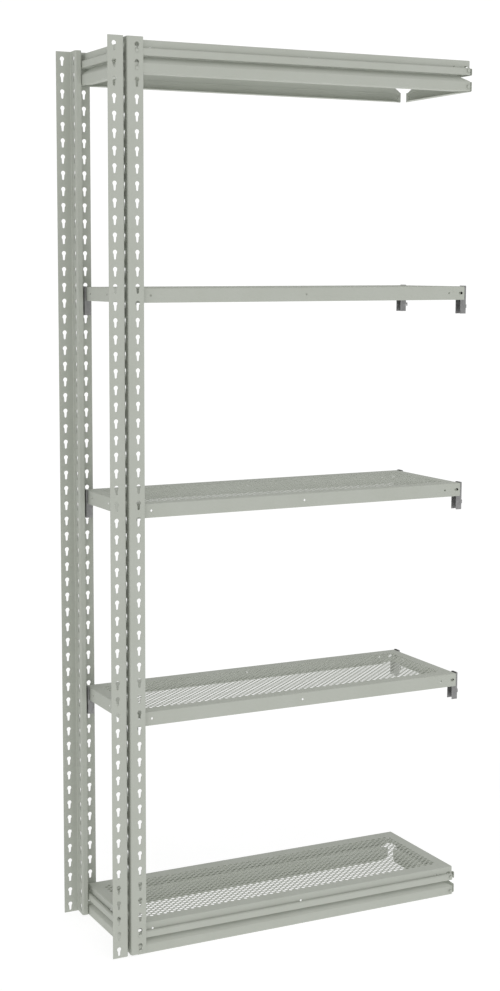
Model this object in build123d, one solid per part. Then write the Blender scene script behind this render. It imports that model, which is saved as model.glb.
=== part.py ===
from build123d import *
import os

# Boltless steel shelving, add-on bay: two T-shaped keyhole posts at the left end, a ring of double-ridge
# beams at the bottom and at the top, and five box-edge decks. The decks' tops are plain here: their 1441
# small perforations are left to the mesh that is shown. Units are millimetres.
# X runs along the shelves, Y from front to rear, Z up. The origin is on the floor, at the middle of the plan.

# Post: a folded hat section, two flanges with a flared channel between them that reaches into the bay
POST_HEIGHT = 2133.6
POST_FOOT_Z = 3.5            # the bottom beams stand this much lower than the post ends
POST_SHEET = 1.9
FLANGE_REACH = 42.9          # post centre line to the free edge of a flange
HAT_DEPTH = 38.0
HAT_MOUTH = 4.65             # centre of the sheet, at the flanges
HAT_END = 7.35               # centre of the sheet, at the inner end
HAT_MOUTH_BEND = 3.4
HAT_END_BEND = 3.0
BAY_DEPTH = 317.5            # front face of the front flanges to rear face of the rear flanges

# Keyholes in the flanges and in the walls of the hat
HOLE_PITCH = 38.1
HOLE_COUNT = 56
FIRST_HOLE_Z = POST_FOOT_Z + 21.0
HOLE_RADIUS = 5.5
SLOT_TOP_HALF = 3.9
SLOT_RADIUS = 2.8
SLOT_DROP = 13.7             # centre of the round part to the centre of the slot's foot
FLANGE_HOLE_X = 27.5
WALL_HOLE_Y = 24.0

# Bay: everything is symmetric about the middle of the bay, except that the right posts belong to the next bay
BAY_PITCH = 942.6            # post centre line to post centre line
DECK_LENGTH = 907.4
DECK_DEPTH = 297.1
DECK_LIP = 33.4
DECK_SHEET = 0.9
DECK_CORNER = 2.2
RETURN_WIDTH = 12.0
RETURN_RELIEF = 36.0         # the return is cut short this far from each corner, to pass the clip

# Lip holes
LIP_HOLE_DIAMETER = 5.2
LIP_HOLE_INSET = 46.7
LIP_SLOT_LENGTH = 11.5
LIP_SLOT_WIDTH = 6.8
LIP_SLOT_INSET = 12.0

# Beam: a rolled section with an upper and a lower ridge and a ledge between them that carries the deck
BEAM_SHEET = 1.5
BEAM_HEIGHT = 56.3
LEDGE_TOP = 40.8
LEDGE_REACH = 18.5
LOWER_RIDGE_TOP = 22.5
TOP_LIP_REACH = 7.0
FOOT_REACH = 20.7
BEAM_BENDS = [2.6, 2.2, 1.8, 4.0, 3.6]    # bend radii from the top lip down to the foot
MITRE = 1.9                  # each beam end runs back this much per millimetre of reach
LONG_GROOVE_MITRE = 2.3      # the same between the ridges of a front or rear beam
SIDE_GROOVE_MITRE = 4.3      # and of a side beam, which leaves the corner open
SIDE_GROOVE_STEP = 7.0       # straight back from a side beam's end before its groove's mitre starts
LONG_BEAM_INSET = 21.6       # post centre line to the end of a front or rear beam
LONG_BEAM_FACE = 2.1         # front face of the post to the outer face of a front beam
SIDE_BEAM_INSET = 12.5       # front face of the post to the end of a side beam
SIDE_BEAM_FACE = 8.8         # post centre line to the outer face of a side beam
TOP_FRAME_Z = 54 * HOLE_PITCH
DECK_ON_FRAME = 74.4         # foot of the beams to the top of the deck

# Rivet
RIVET_RADIUS = 2.6
RIVET_HEAD_RADIUS = 4.1
RIVET_HEAD = 2.0
RIVET_HEAD_ROUND = 1.2
RIVET_TAIL_RADIUS = 3.8
RIVET_TAIL = 1.5
RIVET_FIT = 0.05             # the hole in a beam is this much larger in radius
RIVET_DROP = 13.5            # centre of the round part of a keyhole to a seated rivet
HEAD_GAP = 0.15

# Clip: a channel under each corner of a middle deck, narrowed above its shoulders to stand outside the lip
CLIP_SHEET = 1.9
CLIP_WEB_X = 12.0            # post centre line to the outer face of the web
CLIP_FLANGE = 17.0
CLIP_DEPTH = 22.0
CLIP_HANG = 34.4             # below the shoulders
CLIP_ABOVE_DECK = 1.5
CLIP_BEND = 2.5
CLIP_FROM_LIP = 0.1          # between the clip and each of the two lips at its corner
HOOK_GAP = 0.1               # under the hook's neck, at the foot of the keyhole
HOOK_NECK = 4.8
HOOK_NOSE_DROP = 4.2
HOOK_NOSE = 2.0
DECK_ABOVE_HOLE = 34.0       # deck top above the round part of the keyhole that holds its clips
MIDDLE_HOLES = {"shelf_2": 14, "shelf_3": 27, "shelf_4": 40}

CUT_OVERRUN = 10.0           # cutters run this far past what they cut

# Derived places
MID_Y = BAY_DEPTH / 2
DECK_X = (BAY_PITCH - DECK_LENGTH) / 2
DECK_Y = (BAY_DEPTH - DECK_DEPTH) / 2


def hole_z(index):
    return FIRST_HOLE_Z + index * HOLE_PITCH


def wall_x(y):
    """Centre of the hat's wall sheet at a depth behind the flange face."""
    run = (y - POST_SHEET / 2) / (HAT_DEPTH - POST_SHEET)
    return HAT_MOUTH + (HAT_END - HAT_MOUTH) * run


def mirror_x(shape):
    return shape.mirror(Plane.YZ.offset(BAY_PITCH / 2))


def mirror_y(shape):
    return shape.mirror(Plane.XZ.offset(-MID_Y))


# Posts
def keyhole():
    """Outline in the plane's own axes, with the round part on the origin."""
    throat = Polygon(
        (-SLOT_TOP_HALF, 0), (SLOT_TOP_HALF, 0), (SLOT_RADIUS, -SLOT_DROP), (-SLOT_RADIUS, -SLOT_DROP),
        align=None,
    )
    foot = Pos(0, -SLOT_DROP) * Circle(SLOT_RADIUS)
    return Circle(HOLE_RADIUS) + throat + foot


def keyhole_tools(plane, reach):
    """Cutters for one column of keyholes, reaching both ways from the plane."""
    cutter = extrude(plane * keyhole(), reach, both=True)
    return [Pos(0, 0, hole_z(index)) * cutter for index in range(HOLE_COUNT)]


def post():
    half = POST_SHEET / 2
    path = FilletPolyline(
        (-FLANGE_REACH, half), (-HAT_MOUTH, half), (-HAT_END, HAT_DEPTH - half),
        (HAT_END, HAT_DEPTH - half), (HAT_MOUTH, half), (FLANGE_REACH, half),
        radius=[HAT_MOUTH_BEND, HAT_END_BEND, HAT_END_BEND, HAT_MOUTH_BEND],
    )
    section = trace(path, POST_SHEET)
    body = Pos(0, 0, POST_FOOT_Z) * extrude(section, POST_HEIGHT, dir=(0, 0, 1))
    cutters = keyhole_tools(Plane((0, WALL_HOLE_Y, 0), (0, 1, 0), (1, 0, 0)), HAT_END + 2 * POST_SHEET)
    for x in (-FLANGE_HOLE_X, FLANGE_HOLE_X):
        cutters += keyhole_tools(Plane((x, 0, 0), (1, 0, 0), (0, -1, 0)), 2 * POST_SHEET)
    return body.cut(*cutters)


# Beams
def beam_section():
    """Sheet section with X as the reach into the bay and Y as the height."""
    half = BEAM_SHEET / 2
    ledge = LEDGE_TOP - half
    path = FilletPolyline(
        (TOP_LIP_REACH, BEAM_HEIGHT - half), (half, BEAM_HEIGHT - half), (half, ledge),
        (LEDGE_REACH - half, ledge), (half, LOWER_RIDGE_TOP), (half, half), (FOOT_REACH, half),
        radius=BEAM_BENDS,
    )
    return trace(path, BEAM_SHEET)


def mitre_tool(slope, step, low, high):
    """Cutter for a beam's end between two heights, back by a step at the face and then with the slope."""
    far = BEAM_SHEET + FOOT_REACH + CUT_OVERRUN
    wedge = Polygon(
        (-CUT_OVERRUN, BEAM_SHEET), (step, BEAM_SHEET), (step + slope * (far - BEAM_SHEET), far),
        (-CUT_OVERRUN, far), align=None,
    )
    return Pos(0, 0, low) * extrude(wedge, high - low)


def beam(length, rivet_inset, groove_mitre, groove_step):
    """A beam along +X from the origin, with its outer face on Y = 0 and its ledge toward +Y."""
    body = extrude(Plane((0, 0, 0), (0, 1, 0), (1, 0, 0)) * beam_section(), length)
    ends = [
        mitre_tool(MITRE, 0, -CUT_OVERRUN, BEAM_HEIGHT + CUT_OVERRUN),
        mitre_tool(groove_mitre, groove_step, LOWER_RIDGE_TOP, LEDGE_TOP),
    ]
    holes = [
        Pos(rivet_inset, 0, z) * Rot(90, 0, 0) * Cylinder(RIVET_RADIUS + RIVET_FIT, 4 * BEAM_SHEET)
        for z in rivet_heights()
    ]
    middle = Plane.YZ.offset(length / 2)
    cutters = ends + holes
    cutters += [tool.mirror(middle) for tool in cutters]
    return body.cut(*cutters)


def rivet_heights():
    """Heights of the two rivets above a beam's foot."""
    return [hole_z(0) - RIVET_DROP, hole_z(1) - RIVET_DROP]


def front_beam():
    length = BAY_PITCH - 2 * LONG_BEAM_INSET
    straight = beam(length, FLANGE_HOLE_X - LONG_BEAM_INSET, LONG_GROOVE_MITRE, 0)
    return Pos(LONG_BEAM_INSET, LONG_BEAM_FACE, 0) * straight


def left_beam():
    length = BAY_DEPTH - 2 * SIDE_BEAM_INSET
    straight = beam(length, WALL_HOLE_Y - SIDE_BEAM_INSET, SIDE_GROOVE_MITRE, SIDE_GROOVE_STEP)
    return Pos(SIDE_BEAM_FACE, BAY_DEPTH - SIDE_BEAM_INSET, 0) * Rot(0, 0, -90) * straight


def beams(level, base_z):
    front = front_beam()
    left = left_beam()
    ring = {"front": front, "rear": mirror_y(front), "left": left, "right": mirror_x(left)}
    return {f"{level}_{side}_beam": Pos(0, 0, base_z) * body for side, body in ring.items()}


# Rivets
def rivet(grip):
    """A rivet along -Z: its tail on Z = 0 to RIVET_TAIL, its head's underside at Z = -grip."""
    tail = Pos(0, 0, RIVET_TAIL / 2) * Cylinder(RIVET_TAIL_RADIUS, RIVET_TAIL)
    shank = Pos(0, 0, -grip / 2) * Cylinder(RIVET_RADIUS, grip)
    head = Pos(0, 0, -grip - RIVET_HEAD / 2) * Cylinder(RIVET_HEAD_RADIUS, RIVET_HEAD)
    head = fillet(head.edges().group_by(Axis.Z)[0], RIVET_HEAD_ROUND)
    return tail + shank + head


def flange_rivet():
    """On the origin's height, through the front flange's right keyhole column, head outward."""
    grip = LONG_BEAM_FACE + BEAM_SHEET + HEAD_GAP
    return Pos(FLANGE_HOLE_X, LONG_BEAM_FACE + BEAM_SHEET, 0) * Rot(-90, 0, 0) * rivet(grip)


def wall_head_x():
    """Underside of a wall rivet's head, inside the hat, where its front edge clears the slanted wall."""
    return wall_x(WALL_HOLE_Y - RIVET_HEAD_RADIUS) - POST_SHEET / 2 - HEAD_GAP


def wall_rivet(seat_x):
    """Through the hat's wall, with its tail on a sheet whose inner face is at seat_x."""
    grip = seat_x - wall_head_x()
    return Pos(seat_x, WALL_HOLE_Y, 0) * Rot(0, 90, 0) * rivet(grip)


def four_corners(shape):
    """The shape and its mirror images about the middle of the bay, as a dictionary by corner."""
    rear = mirror_y(shape)
    return {
        "front_left": shape, "front_right": mirror_x(shape),
        "rear_left": rear, "rear_right": mirror_x(rear),
    }


def frame_rivets(base_z):
    pair = [flange_rivet(), wall_rivet(SIDE_BEAM_FACE + BEAM_SHEET)]
    solids = []
    for height in rivet_heights():
        for one in pair:
            solids += [Pos(0, 0, base_z + height) * copy for copy in four_corners(one).values()]
    return Compound(children=solids)


# Decks
def lip_cutters():
    """Round holes and slots in the four lips, half way up, measured from the middle of the deck."""
    z = -DECK_LIP / 2
    cutters = []
    for length, depth, turn in ((DECK_LENGTH, DECK_DEPTH, 0), (DECK_DEPTH, DECK_LENGTH, 90)):
        hole = Rot(90, 0, 0) * Cylinder(LIP_HOLE_DIAMETER / 2, depth + CUT_OVERRUN)
        slot = Rot(90, 0, 0) * extrude(SlotOverall(LIP_SLOT_LENGTH, LIP_SLOT_WIDTH), depth, both=True)
        places = [(hole, 0)]
        for side in (-1, 1):
            places.append((hole, side * (length / 2 - LIP_HOLE_INSET)))
            places.append((slot, side * (length / 2 - LIP_SLOT_INSET)))
        cutters += [Rot(0, 0, turn) * Pos(x, 0, z) * tool for tool, x in places]
    return cutters


def deck():
    """A box-edge deck, centred in plan, with its top face on Z = 0."""
    inner_corner = DECK_CORNER - DECK_SHEET
    outer = Pos(0, 0, -DECK_LIP / 2) * Box(DECK_LENGTH, DECK_DEPTH, DECK_LIP)
    outer = fillet(outer.edges().filter_by(Axis.Z) + outer.edges().group_by(Axis.Z)[-1], DECK_CORNER)
    inside = Pos(0, 0, -DECK_LIP / 2 - DECK_SHEET) * Box(
        DECK_LENGTH - 2 * DECK_SHEET, DECK_DEPTH - 2 * DECK_SHEET, DECK_LIP
    )
    inside = fillet(inside.edges().filter_by(Axis.Z) + inside.edges().group_by(Axis.Z)[-1], inner_corner)
    foot_z = -DECK_LIP + DECK_SHEET / 2
    returns = []
    for turn, length, depth in ((0, DECK_LENGTH, DECK_DEPTH), (90, DECK_DEPTH, DECK_LENGTH)):
        strip = Box(length - 2 * RETURN_RELIEF, RETURN_WIDTH, DECK_SHEET)
        for side in (-1, 1):
            y = side * (depth - RETURN_WIDTH) / 2
            returns.append(Rot(0, 0, turn) * Pos(0, y, foot_z) * strip)
    shell = (outer - inside).fuse(*returns)
    return shell.cut(*lip_cutters())


# Clips
def clip_sleeve(depth_x, low, high):
    """A stretch of the clip's channel, reaching depth_x from the outer face of its web."""
    front = DECK_Y + DECK_SHEET + CLIP_FROM_LIP
    block = Pos(CLIP_WEB_X, front, low) * Box(depth_x, CLIP_DEPTH, high - low, align=Align.MIN)
    block = fillet(block.edges().filter_by(Axis.Z).group_by(Axis.X)[0], CLIP_BEND)
    hollow = Pos(CLIP_WEB_X + CLIP_SHEET, front + CLIP_SHEET, low) * Box(
        depth_x, CLIP_DEPTH - 2 * CLIP_SHEET, high - low, align=Align.MIN
    )
    return block - hollow


def clip_hook():
    """A plate off the clip's web, through the slot of a keyhole and down behind the hat's wall."""
    slot_foot = DECK_LIP - DECK_ABOVE_HOLE - SLOT_DROP - SLOT_RADIUS
    neck_foot = slot_foot + HOOK_GAP + SLOT_RADIUS - (SLOT_RADIUS ** 2 - (CLIP_SHEET / 2) ** 2) ** 0.5
    nose_x = wall_head_x() - HOOK_NOSE
    outline = Polyline(
        (CLIP_WEB_X + CLIP_SHEET / 2, neck_foot), (wall_head_x(), neck_foot),
        (wall_head_x(), neck_foot - HOOK_NOSE_DROP), (nose_x, neck_foot - HOOK_NOSE_DROP),
        (nose_x, neck_foot + HOOK_NECK), (CLIP_WEB_X + CLIP_SHEET / 2, neck_foot + HOOK_NECK), close=True,
    )
    plate = extrude(make_face(Plane.XZ * outline), CLIP_SHEET / 2, both=True)
    return Pos(0, WALL_HOLE_Y, 0) * plate


def clip():
    """The front left clip, with the deck's lip foot, which rests on its shoulders, on Z = 0."""
    below = clip_sleeve(CLIP_FLANGE, -CLIP_HANG, 0)
    above = clip_sleeve(DECK_X - CLIP_FROM_LIP - CLIP_WEB_X, 0, DECK_LIP + CLIP_ABOVE_DECK)
    return below.fuse(above, clip_hook())


def middle_shelf(name, index, deck_shape):
    top = hole_z(index) + DECK_ABOVE_HOLE
    nodes = {f"{name}_deck": Pos(BAY_PITCH / 2, MID_Y, top) * deck_shape}
    for corner, shape in four_corners(clip()).items():
        nodes[f"{name}_clip_{corner}"] = Pos(0, 0, top - DECK_LIP) * shape
    return nodes


def assembly():
    front = post()
    nodes = {"front_post": front, "rear_post": mirror_y(front)}
    deck_shape = deck()
    for level, base_z in (("bottom", 0), ("top", TOP_FRAME_Z)):
        nodes.update(beams(level, base_z))
        nodes[f"{level}_beam_rivets"] = frame_rivets(base_z)
        nodes[f"{level}_deck"] = Pos(BAY_PITCH / 2, MID_Y, base_z + DECK_ON_FRAME) * deck_shape
    for name, index in MIDDLE_HOLES.items():
        nodes.update(middle_shelf(name, index, deck_shape))
    return nodes


right_extent = BAY_PITCH - (wall_head_x() - RIVET_HEAD)
mid_x = (right_extent - FLANGE_REACH) / 2
os.makedirs("parts", exist_ok=True)
for node, shape in assembly().items():
    export_step(Pos(-mid_x, -MID_Y, 0) * shape, f"parts/{node}.step")
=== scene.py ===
"""Looks of a bay of boltless steel shelving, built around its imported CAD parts. Units are metres."""

import math

import bpy
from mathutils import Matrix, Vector
from mathutils.geometry import delaunay_2d_cdt


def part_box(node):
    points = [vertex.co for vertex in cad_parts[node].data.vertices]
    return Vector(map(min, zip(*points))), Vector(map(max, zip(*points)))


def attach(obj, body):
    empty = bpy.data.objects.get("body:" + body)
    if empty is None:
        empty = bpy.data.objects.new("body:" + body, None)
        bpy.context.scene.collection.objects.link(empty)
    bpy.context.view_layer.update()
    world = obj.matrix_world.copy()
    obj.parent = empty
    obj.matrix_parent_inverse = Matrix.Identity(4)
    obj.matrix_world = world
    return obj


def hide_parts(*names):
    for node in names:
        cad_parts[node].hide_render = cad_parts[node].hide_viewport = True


# Camera: where it stands and how it looks at the bay
CAMERA_PLACE = (-1.9330, -3.5924, 1.6274)
CAMERA_YAW = 25.5            # degrees from +Y towards +X
CAMERA_PITCH = 7.70          # degrees below the horizon
CAMERA_LENS = 59.81
CAMERA_SENSOR = 36.0
CAMERA_SHIFT = (0.0626, -0.0048)
CAMERA_REACH = 200.0

# Perforated deck: round holes in staggered rows, centred on the flat of the deck
DECK_BODIES = {
    "bottom_deck": "bottom_shelf", "shelf_2_deck": "shelf_2", "shelf_3_deck": "shelf_3",
    "shelf_4_deck": "shelf_4", "top_deck": "top_shelf",
}
DECK_SHEET = 0.0009
HOLE_RADIUS = 0.0047625
HOLE_PITCH = 0.018288
ROW_PITCH = 0.00744
ROWS = 31
HOLES_IN_OUTER_ROW = 46      # every second row has one more
HOLE_SIDES = 20
FLATNESS = 1e-5              # how far a corner of the plain top may stand off its level
LEVEL = 0.999                # and how upright that face's normal has to be
MERGE = 1e-7                 # points of the panel nearer than this would be one
INSIDE_ONLY = 1              # the triangulation's output: triangles inside the outline

# Colours, linear
WHITE = (1.0, 1.0, 1.0, 1.0)
PAINT = (0.490, 0.512, 0.457)
PAINT_WORN = (0.535, 0.557, 0.511)
PAINT_DUST = (0.60, 0.61, 0.58)
ZINC = (0.33, 0.33, 0.33)
ZINC_DULL = (0.25, 0.25, 0.25)
FLOOR = (0.30, 0.30, 0.30)
FLOOR_TINT = (0.34, 0.34, 0.34)

# Lights
WORLD_LIGHT = 0.62
WORLD_SEEN = 1.05
FLOOR_GLOW = 0.80
KEY_STRENGTH = 0.47
KEY_FROM = (-0.10, -0.50, 0.86)
KEY_ANGLE = 38.0
KEY_TINT = (1.0, 0.995, 0.98)
KEY_DISTANCE = 4.0           # only where its marker stands
FLOOR_RADIUS = 60.0
FLOOR_SIDES = 96


def node(tree, kind, operation=None, **values):
    """A node with its inputs, by name or as i0, i1, set to numbers or linked to sockets."""
    made = tree.nodes.new(kind)
    if operation:
        made.operation = operation
    for name, value in values.items():
        key = int(name[1:]) if name[0] == "i" and name[1:].isdigit() else name
        if isinstance(value, bpy.types.NodeSocket):
            tree.links.new(value, made.inputs[key])
        else:
            made.inputs[key].default_value = value
    return made


def blank(name):
    """A new material and its empty node tree."""
    material = bpy.data.materials.new(name)
    material.use_nodes = True
    tree = material.node_tree
    tree.nodes.clear()
    return material, tree


def mix(tree, factor, first, second):
    """Colour mix: sockets or RGB triples."""
    made = tree.nodes.new("ShaderNodeMix")
    made.data_type = "RGBA"
    for socket, value in ((made.inputs[0], factor), (made.inputs[6], first), (made.inputs[7], second)):
        if isinstance(value, bpy.types.NodeSocket):
            tree.links.new(value, socket)
        elif isinstance(value, tuple):
            socket.default_value = (*value, 1.0)
        else:
            socket.default_value = value
    return made.outputs[2]


def ramp(tree, value, low, high, out_low=0.0, out_high=1.0):
    """Value carried smoothly from low..high to out_low..out_high."""
    made = tree.nodes.new("ShaderNodeMapRange")
    made.interpolation_type = "SMOOTHSTEP"
    tree.links.new(value, made.inputs[0])
    for index, number in enumerate((low, high, out_low, out_high), 1):
        made.inputs[index].default_value = number
    return made.outputs[0]


def multiply(tree, first, second):
    return node(tree, "ShaderNodeMath", operation="MULTIPLY", i0=first, i1=second).outputs[0]


def noise(tree, vector, scale, detail=2.0, roughness=0.5):
    made = node(tree, "ShaderNodeTexNoise", Vector=vector, Scale=scale, Detail=detail, Roughness=roughness)
    return made.outputs[0]


def added(tree, first, second):
    return node(tree, "ShaderNodeMath", operation="ADD", i0=first, i1=second).outputs[0]


def bumps(tree, height, strength, distance):
    return node(tree, "ShaderNodeBump", Strength=strength, Distance=distance, Height=height).outputs[0]


def stretched(tree, vector, scale):
    """Coordinates scaled by a different number along each axis."""
    return node(tree, "ShaderNodeVectorMath", operation="MULTIPLY", i0=vector, i1=scale).outputs[0]


def finish_shader(tree, colour, roughness, metallic, normal, specular=0.5):
    """The tree's surface shader, linked to its output."""
    shader = tree.nodes.new("ShaderNodeBsdfPrincipled")
    tree.links.new(colour, shader.inputs["Base Color"])
    tree.links.new(roughness, shader.inputs["Roughness"])
    tree.links.new(normal, shader.inputs["Normal"])
    shader.inputs["Metallic"].default_value = metallic
    shader.inputs["Specular IOR Level"].default_value = specular
    out = tree.nodes.new("ShaderNodeOutputMaterial")
    tree.links.new(shader.outputs[0], out.inputs[0])
    return shader


def powder_coat(name, scuffs):
    """Satin powder coat: orange peel, faint mottling, dust on upward faces and scuffs where goods slide."""
    material, tree = blank(name)
    where = tree.nodes.new("ShaderNodeTexCoord").outputs["Object"]
    facing = tree.nodes.new("ShaderNodeNewGeometry").outputs["Normal"]
    up = node(tree, "ShaderNodeSeparateXYZ", Vector=facing).outputs[2]

    mottle = ramp(tree, noise(tree, where, 7.0, 4.0, 0.6), 0.35, 0.65)
    colour = mix(tree, multiply(tree, mottle, 0.35), PAINT, PAINT_WORN)
    fine = ramp(tree, noise(tree, where, 420.0, 2.0, 0.5), 0.3, 0.7)
    colour = mix(tree, multiply(tree, fine, 0.14), colour, PAINT_WORN)

    upward = ramp(tree, up, 0.5, 0.95)
    film = ramp(tree, noise(tree, where, 23.0, 5.0, 0.65), 0.40, 0.75)
    dust = multiply(tree, upward, multiply(tree, film, 0.22))
    colour = mix(tree, dust, colour, PAINT_DUST)

    rub = ramp(tree, noise(tree, stretched(tree, where, (11.0, 320.0, 40.0)), 1.0, 3.0, 0.6), 0.66, 0.74)
    cross = ramp(tree, noise(tree, stretched(tree, where, (260.0, 9.0, 30.0)), 1.0, 3.0, 0.6), 0.68, 0.75)
    marks = node(tree, "ShaderNodeMath", operation="MAXIMUM", i0=rub, i1=cross).outputs[0]
    marks = multiply(tree, multiply(tree, marks, upward), scuffs)
    colour = mix(tree, marks, colour, PAINT_DUST)

    roughness = ramp(tree, noise(tree, where, 35.0, 3.0, 0.55), 0.3, 0.7, 0.52, 0.64)
    roughness = added(tree, roughness, multiply(tree, dust, 0.5))
    peel = noise(tree, where, 650.0, 2.0, 0.4)
    finish_shader(tree, colour, roughness, 0.0, bumps(tree, peel, 0.22, 0.00018), specular=0.14)
    return material


def zinc_plate(name):
    """Dull zinc plate: cloudy patches, fine drawn lines from the press and a soft sheen."""
    material, tree = blank(name)
    where = tree.nodes.new("ShaderNodeTexCoord").outputs["Object"]
    cloud = ramp(tree, noise(tree, where, 90.0, 4.0, 0.6), 0.35, 0.65)
    colour = mix(tree, multiply(tree, cloud, 0.8), ZINC, ZINC_DULL)
    lines = noise(tree, stretched(tree, where, (900.0, 900.0, 60.0)), 1.0, 2.0, 0.5)
    colour = mix(tree, multiply(tree, ramp(tree, lines, 0.4, 0.6), 0.2), colour, ZINC_DULL)
    roughness = ramp(tree, noise(tree, where, 160.0, 3.0, 0.5), 0.3, 0.7, 0.38, 0.58)
    finish_shader(tree, colour, roughness, 0.65, bumps(tree, lines, 0.15, 0.0001))
    return material


def floor_material():
    """A pale sweep that glows like a lit studio table, so that only faint shadows are left on it."""
    material, tree = blank("studio_floor")
    where = tree.nodes.new("ShaderNodeTexCoord").outputs["Object"]
    tone = ramp(tree, noise(tree, where, 1.3, 3.0, 0.5), 0.3, 0.7)
    colour = mix(tree, tone, FLOOR, FLOOR_TINT)
    grain = bumps(tree, noise(tree, where, 60.0), 0.02, 0.001)
    roughness = ramp(tree, noise(tree, where, 9.0), 0.3, 0.7, 0.7, 0.8)
    shader = finish_shader(tree, colour, roughness, 0.0, grain, specular=0.0)
    shader.inputs["Emission Color"].default_value = WHITE
    shader.inputs["Emission Strength"].default_value = FLOOR_GLOW
    return material


def hole_centres():
    """Centres of a deck's perforations, from the middle of the deck."""
    centres = []
    for row in range(ROWS):
        count = HOLES_IN_OUTER_ROW + row % 2
        y = (row - (ROWS - 1) / 2) * ROW_PITCH
        centres += [Vector(((index - (count - 1) / 2) * HOLE_PITCH, y)) for index in range(count)]
    return centres


def perforated_panel(low, high):
    """Flat panel from low to high with its holes left out: points, triangles and each hole's first point."""
    middle = (low + high) / 2
    points = [Vector((x, y)) for x, y in ((low.x, low.y), (high.x, low.y), (high.x, high.y), (low.x, high.y))]
    rims = []
    edges = []
    for centre in hole_centres():
        first = len(points)
        rims.append(first)
        for side in range(HOLE_SIDES):
            turn = 2 * math.pi * side / HOLE_SIDES
            points.append(middle + centre + HOLE_RADIUS * Vector((math.cos(turn), math.sin(turn))))
            edges.append((first + side, first + (side + 1) % HOLE_SIDES))
    corners = rims[0]
    triangles = delaunay_2d_cdt(points, edges, [list(range(corners))], INSIDE_ONLY, MERGE)[2]
    hole_of = [-1] * corners + [index // HOLE_SIDES for index in range(len(points) - corners)]
    kept = [t for t in triangles if hole_of[t[0]] < 0 or len({hole_of[corner] for corner in t}) > 1]
    return points, kept, rims


def perforated_deck(name, body):
    """The deck with its lips and bends as they are, and its plain top taken out for the perforated one."""
    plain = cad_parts[name].data
    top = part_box(name)[1].z
    levels = {1: top, -1: top - DECK_SHEET}
    points = [vertex.co.copy() for vertex in plain.vertices]
    faces = []
    normals = []
    flat = []
    for face in plain.polygons:
        corners = [points[index] for index in face.vertices]
        side = 1 if face.normal.z > 0 else -1
        if abs(face.normal.z) > LEVEL and all(abs(corner.z - levels[side]) < FLATNESS for corner in corners):
            flat += corners
            continue
        faces.append(tuple(face.vertices))
        normals += [plain.corner_normals[loop].vector.copy() for loop in face.loop_indices]
    low = Vector((min(corner.x for corner in flat), min(corner.y for corner in flat)))
    high = Vector((max(corner.x for corner in flat), max(corner.y for corner in flat)))
    outline, triangles, rims = perforated_panel(low, high)
    for side, level in levels.items():
        first = len(points)
        points += [Vector((point.x, point.y, level)) for point in outline]
        for triangle in triangles:
            faces.append(tuple(first + index for index in triangle[::side]))
            normals += [Vector((0, 0, side))] * 3
    for rim in rims:
        first = len(points)
        hole = outline[rim:rim + HOLE_SIDES]
        middle = sum(hole, Vector((0, 0))) / HOLE_SIDES
        inward = [(middle - point).to_3d().normalized() for point in hole]
        for level in levels.values():
            points += [Vector((point.x, point.y, level)) for point in hole]
        for side in range(HOLE_SIDES):
            after = (side + 1) % HOLE_SIDES
            below = first + HOLE_SIDES
            faces.append((first + side, first + after, below + after, below + side))
            normals += [inward[side], inward[after], inward[after], inward[side]]
    mesh = bpy.data.meshes.new(f"perforated_{name}")
    mesh.from_pydata(points, [], faces)
    mesh.normals_split_custom_set(normals)
    made = bpy.data.objects.new(f"perforated_{name}", mesh)
    bpy.context.collection.objects.link(made)
    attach(made, body)
    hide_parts(name)
    return made


def paint_nodes():
    """Every CAD node takes its finish from what it is."""
    frame_paint = powder_coat("powder_coat", 0.0)
    deck_paint = powder_coat("powder_coat_deck", 0.45)
    zinc = zinc_plate("zinc_plate")
    for name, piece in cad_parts.items():
        piece.data.materials.clear()
        piece.data.materials.append(zinc if "_clip_" in name else frame_paint)
    for name, body in DECK_BODIES.items():
        perforated_deck(name, body).data.materials.append(deck_paint)


def set_floor():
    bpy.ops.mesh.primitive_circle_add(
        vertices=FLOOR_SIDES, radius=FLOOR_RADIUS, fill_type="NGON", location=(0, 0, 0),
    )
    floor = bpy.context.object
    floor.name = "floor"
    floor.data.materials.append(floor_material())


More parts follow.
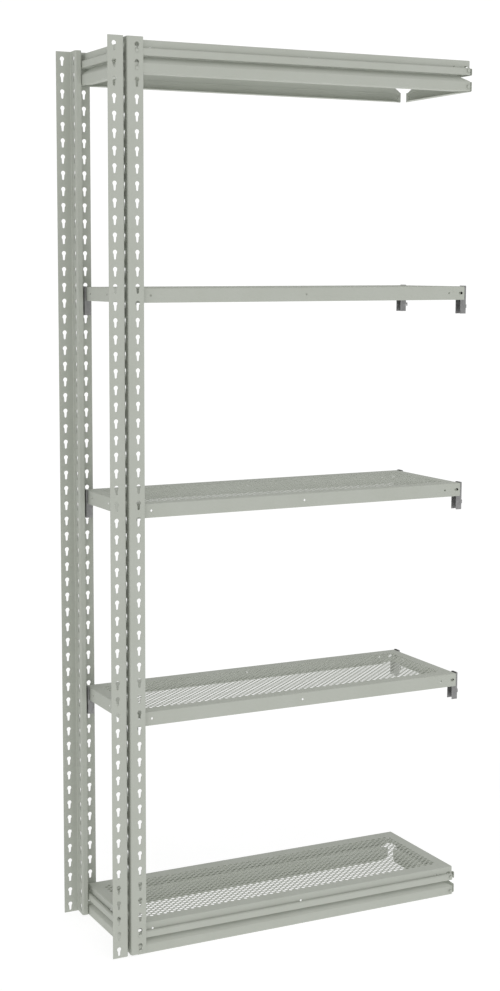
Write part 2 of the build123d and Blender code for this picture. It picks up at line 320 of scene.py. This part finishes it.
def set_world():
    """White surroundings, a little brighter to the camera than they are as a light."""
    world = bpy.data.worlds.new("studio")
    world.use_nodes = True
    tree = world.node_tree
    tree.nodes.clear()
    seen = tree.nodes.new("ShaderNodeLightPath").outputs["Is Camera Ray"]
    strength = tree.nodes.new("ShaderNodeMapRange")
    tree.links.new(seen, strength.inputs[0])
    strength.inputs[3].default_value = WORLD_LIGHT
    strength.inputs[4].default_value = WORLD_SEEN
    background = node(tree, "ShaderNodeBackground", Color=WHITE, Strength=strength.outputs[0])
    out = tree.nodes.new("ShaderNodeOutputWorld")
    tree.links.new(background.outputs[0], out.inputs[0])
    bpy.context.scene.world = world


def set_key():
    """One broad soft sun from above and in front."""
    data = bpy.data.lights.new("key", "SUN")
    data.energy = KEY_STRENGTH
    data.angle = math.radians(KEY_ANGLE)
    data.color = KEY_TINT
    key = bpy.data.objects.new("key", data)
    bpy.context.collection.objects.link(key)
    key.location = KEY_DISTANCE * Vector(KEY_FROM)
    key.rotation_euler = Vector(KEY_FROM).to_track_quat("Z", "Y").to_euler()


def set_camera():
    data = bpy.data.cameras.new("camera")
    data.lens = CAMERA_LENS
    data.sensor_width = CAMERA_SENSOR
    data.shift_x, data.shift_y = CAMERA_SHIFT
    data.clip_end = CAMERA_REACH
    camera = bpy.data.objects.new("camera", data)
    bpy.context.collection.objects.link(camera)
    camera.location = CAMERA_PLACE
    camera.rotation_euler = (math.radians(90.0 - CAMERA_PITCH), 0.0, math.radians(-CAMERA_YAW))
    bpy.context.scene.camera = camera


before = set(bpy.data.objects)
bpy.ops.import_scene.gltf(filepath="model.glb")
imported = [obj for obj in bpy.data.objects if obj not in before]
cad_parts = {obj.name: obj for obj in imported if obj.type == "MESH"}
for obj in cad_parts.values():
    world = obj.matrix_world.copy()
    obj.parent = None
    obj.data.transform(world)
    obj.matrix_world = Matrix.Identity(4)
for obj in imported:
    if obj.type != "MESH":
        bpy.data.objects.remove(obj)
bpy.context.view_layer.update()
paint_nodes()
set_floor()
set_world()
set_key()
set_camera()
bpy.context.scene.view_settings.view_transform = "Standard"
